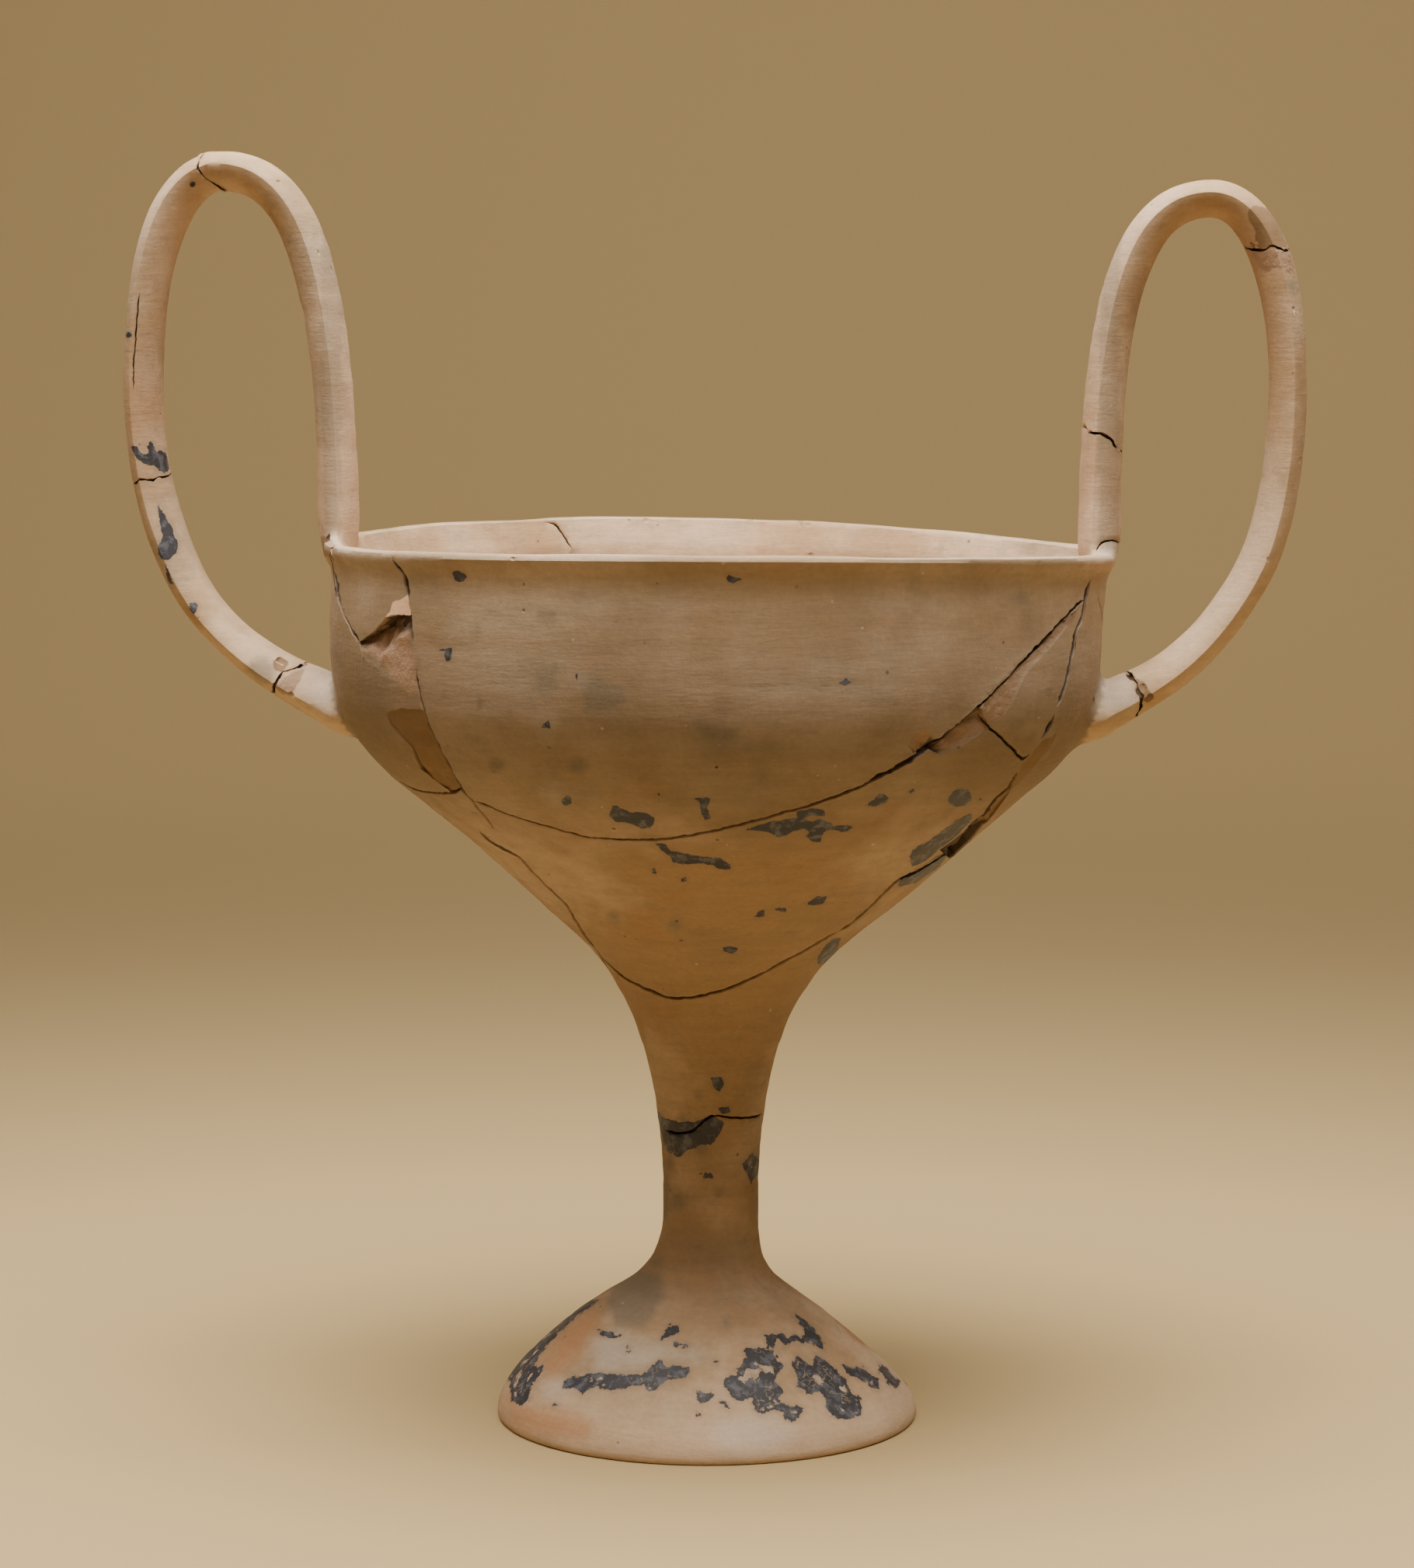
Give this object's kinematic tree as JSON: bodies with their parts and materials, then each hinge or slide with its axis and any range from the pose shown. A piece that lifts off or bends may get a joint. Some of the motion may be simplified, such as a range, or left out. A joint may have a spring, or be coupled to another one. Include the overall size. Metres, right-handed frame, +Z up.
{
  "type": "kylix cup",
  "caption": "Tall fired-clay drinking cup: conical foot, slender stem, wide deep bowl and high-swung strap handles; broken and mended.",
  "frame": {"origin": "centre of the foot, on the plane that it stands on", "axes": "+Z up the stem to the mouth, +X towards the right-hand handle as the picture shows it, -Y towards the viewer"},
  "size_m": [0.2378, 0.159, 0.2569],
  "materials": {
    "fired_clay": "matt unglazed pinkish-buff clay with worn dark patches"
  },
  "bodies": {
    "root": {"kylix": "fired_clay"}
  },
  "joints": []
}
